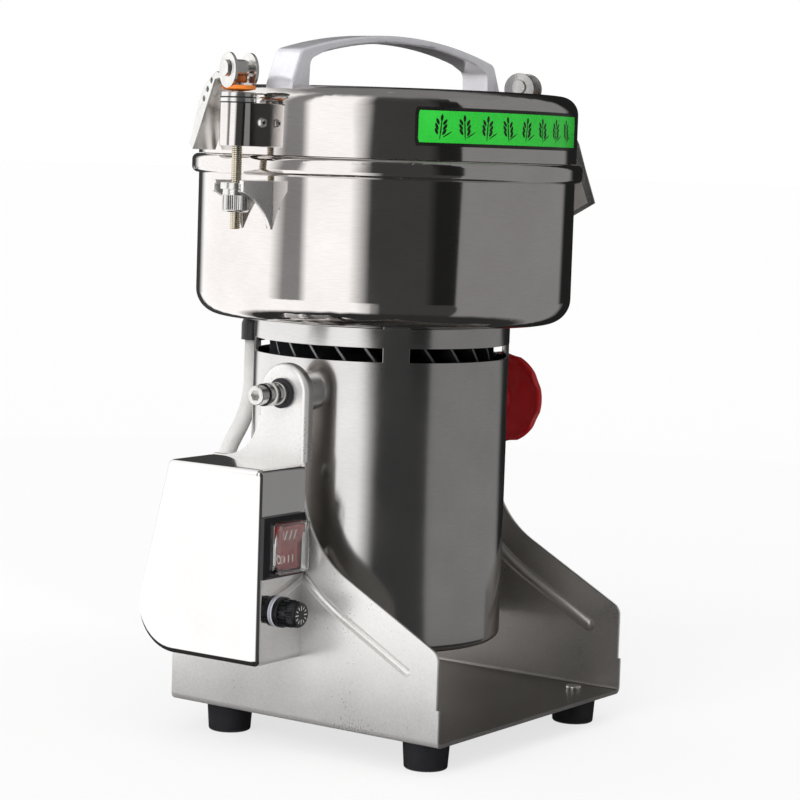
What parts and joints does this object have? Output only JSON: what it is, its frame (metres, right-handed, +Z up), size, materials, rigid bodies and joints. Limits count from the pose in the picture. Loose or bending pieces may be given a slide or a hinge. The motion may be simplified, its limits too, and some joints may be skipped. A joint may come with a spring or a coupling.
{
  "type": "electric grain mill",
  "caption": "Swing grain mill: steel bowl with a clamped lid and arched handle on a motor tube that tips in a channel stand with a switch box and a red lock knob.",
  "frame": {"origin": "on the table under the bowl's axis, between the undersides of the four feet", "axes": "+Z up along the motor shaft; -Y towards the open front with the switch; -X towards the control box, +X towards the lock knob"},
  "size_m": [0.2515, 0.2053, 0.363],
  "materials": {
    "satin_steel": "satin, fine grain",
    "mirror_steel": "polished",
    "polished_steel": "polished with a light turned grain",
    "brushed_steel": "brushed round the tube",
    "plated_steel": "zinc or nickel plated",
    "black_rubber": "matte",
    "black_plastic": "moulded, semi-gloss",
    "red_plastic": "glossy",
    "red_rocker": "glossy, faintly clear",
    "orange_plastic": "moulded",
    "silicone": "matte",
    "cast_aluminium": "polished casting",
    "cast_aluminium_rough": "as cast",
    "laminations": "oiled sheet",
    "copper_bars": "machined",
    "carbon": "matte",
    "insulating_board": "matte",
    "hard_steel": "ground",
    "lead_sheath": "soft sleeve",
    "black_steel": "blackened"
  },
  "bodies": {
    "stand": {"base_channel": "satin_steel", "rubber_feet": "black_rubber", "foot_screws": "plated_steel", "control_box": "mirror_steel", "box_screws": "plated_steel", "switch_housing": "black_plastic", "fuse_holder": "black_plastic", "fuse_washer": "plated_steel", "plate_grommets": "black_rubber", "lock_nut": "plated_steel"},
    "rocker": {"rocker_button": "red_rocker"},
    "fuse": {"fuse_cap": "black_plastic"},
    "lock": {"lock_knob": "red_plastic", "lock_screw": "plated_steel"},
    "head": {"motor_housing": "brushed_steel", "housing_cover": "satin_steel", "cover_screws": "plated_steel", "grinding_bowl": "polished_steel", "bowl_brackets": "satin_steel", "bowl_screws": "plated_steel", "upper_bracket": "cast_aluminium_rough", "lower_bracket": "cast_aluminium_rough", "bearings": "hard_steel", "motor_stator": "laminations", "brush_holders": "insulating_board", "carbon_brushes": "carbon", "pivot_bosses": "satin_steel", "pivot_bolts": "plated_steel", "pivot_washers": "black_steel", "shaft_seal": "black_rubber", "lead_gland": "black_plastic", "motor_lead": "lead_sheath"},
    "rotor": {"rotor_shaft": "hard_steel", "armature_core": "laminations", "commutator": "copper_bars", "cooling_fan": "cast_aluminium_rough", "lower_blade": "hard_steel", "cross_blade": "hard_steel", "upper_blade": "hard_steel", "blade_spacers": "hard_steel", "blade_nut": "hard_steel"},
    "lid": {"lid": "polished_steel", "lid_gasket": "silicone", "carry_handle": "cast_aluminium", "handle_screws": "plated_steel", "latch_lugs": "polished_steel", "latch_yokes": "polished_steel", "yoke_rivets": "plated_steel", "yoke_washers": "plated_steel"},
    "left_rod": {"left_seat_cup": "orange_plastic", "left_latch_rod": "plated_steel", "left_cam_pin": "plated_steel"},
    "left_lever": {"left_latch_lever": "plated_steel"},
    "left_nut": {"left_latch_nut": "plated_steel"},
    "right_rod": {"right_seat_cup": "orange_plastic", "right_latch_rod": "plated_steel", "right_cam_pin": "plated_steel"},
    "right_lever": {"right_latch_lever": "plated_steel"},
    "right_nut": {"right_latch_nut": "plated_steel"}
  },
  "joints": [
    {"name": "head_tilt", "type": "hinge", "parent": "stand", "child": "head", "pos_m": [0, -0.0026, 0.181], "axis": [1, 0, 0], "range_deg": [0, 100], "deforming": ["motor_lead"]},
    {"name": "lid_lift", "type": "slide", "parent": "head", "child": "lid", "axis": [0, 0, 1], "range_m": [0, 0.08]},
    {"name": "shaft_spin", "type": "hinge", "parent": "head", "child": "rotor", "pos_m": [0, 0, 0.2], "axis": [0, 0, 1], "continuous": true},
    {"name": "lock_knob_turn", "type": "hinge", "parent": "stand", "child": "lock", "pos_m": [0.1, -0.0036, 0.1667], "axis": [1, 0, 0], "range_deg": [0, 360]},
    {"name": "rocker_press", "type": "hinge", "parent": "stand", "child": "rocker", "pos_m": [-0.1076, -0.0194, 0.1075], "axis": [-1, 0, 0], "range_deg": [0, 16]},
    {"name": "fuse_cap_turn", "type": "hinge", "parent": "stand", "child": "fuse", "pos_m": [-0.1076, -0.0275, 0.0745], "axis": [0, -1, 0], "range_deg": [0, 90]},
    {"name": "left_rod_swing", "type": "hinge", "parent": "lid", "child": "left_rod", "pos_m": [-0.11238, 0.01181, 0.332], "axis": [0.1045, 0.9945, 0], "range_deg": [0, 8]},
    {"name": "left_lever_lift", "type": "hinge", "parent": "left_rod", "child": "left_lever", "pos_m": [-0.11238, 0.01181, 0.3413], "axis": [0.9135, -0.4067, 0], "range_deg": [0, 135]},
    {"name": "left_nut_turn", "type": "hinge", "parent": "left_rod", "child": "left_nut", "pos_m": [-0.11238, 0.01181, 0.28], "axis": [0, 0, 1], "range_deg": [0, 360]},
    {"name": "right_rod_swing", "type": "hinge", "parent": "lid", "child": "right_rod", "pos_m": [0.11238, -0.01181, 0.332], "axis": [-0.1045, -0.9945, 0], "range_deg": [0, 8]},
    {"name": "right_lever_lift", "type": "hinge", "parent": "right_rod", "child": "right_lever", "pos_m": [0.11238, -0.01181, 0.3413], "axis": [-0.9816, -0.1908, 0], "range_deg": [0, 135]},
    {"name": "right_nut_turn", "type": "hinge", "parent": "right_rod", "child": "right_nut", "pos_m": [0.11238, -0.01181, 0.28], "axis": [0, 0, 1], "range_deg": [0, 360]}
  ]
}
